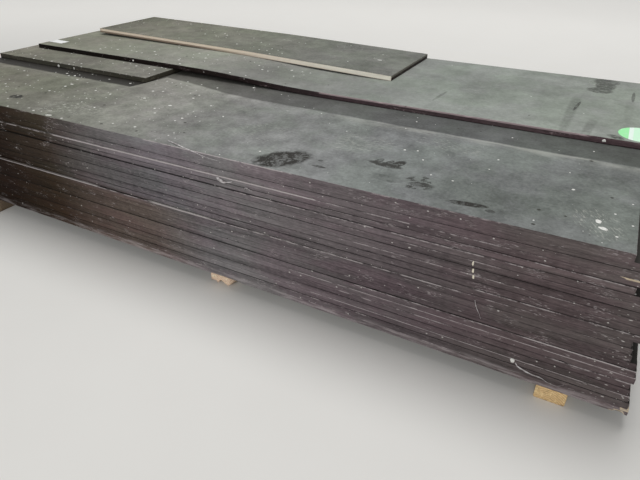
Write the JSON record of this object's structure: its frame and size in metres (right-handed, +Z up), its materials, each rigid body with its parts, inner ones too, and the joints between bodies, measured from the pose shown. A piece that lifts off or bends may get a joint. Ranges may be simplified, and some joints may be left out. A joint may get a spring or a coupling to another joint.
{
  "type": "stack of plywood sheets",
  "caption": "Stack of dark film-faced plywood sheets with slightly uneven edges, loose cut sheets on top, lying on softwood bearers.",
  "frame": {"origin": "middle of the underside of the whole stack, on the floor under the bearers", "axes": "+X along the sheets' length, +Y across them from the open front face to the back, +Z up"},
  "size_m": [2.589, 1.2848, 0.498],
  "materials": {
    "film_faced_plywood": "dark phenolic film with satin sheen under dust, edges sealed dark brown",
    "softwood": "rough sawn softwood"
  },
  "bodies": {
    "root": {"sheet_01": "film_faced_plywood", "sheet_02": "film_faced_plywood", "sheet_03": "film_faced_plywood", "sheet_04": "film_faced_plywood", "sheet_05": "film_faced_plywood", "sheet_06": "film_faced_plywood", "sheet_07": "film_faced_plywood", "sheet_08": "film_faced_plywood", "sheet_09": "film_faced_plywood", "sheet_10": "film_faced_plywood", "sheet_11": "film_faced_plywood", "sheet_12": "film_faced_plywood", "sheet_13": "film_faced_plywood", "sheet_14": "film_faced_plywood", "sheet_15": "film_faced_plywood", "sheet_16": "film_faced_plywood", "sheet_17": "film_faced_plywood", "sheet_18": "film_faced_plywood", "sheet_19": "film_faced_plywood", "sheet_20": "film_faced_plywood", "sheet_21": "film_faced_plywood", "sheet_22": "film_faced_plywood", "short_sheet": "film_faced_plywood", "long_strip": "film_faced_plywood", "offcut": "film_faced_plywood", "bearer_left": "softwood", "bearer_middle": "softwood", "bearer_right": "softwood"}
  },
  "joints": []
}
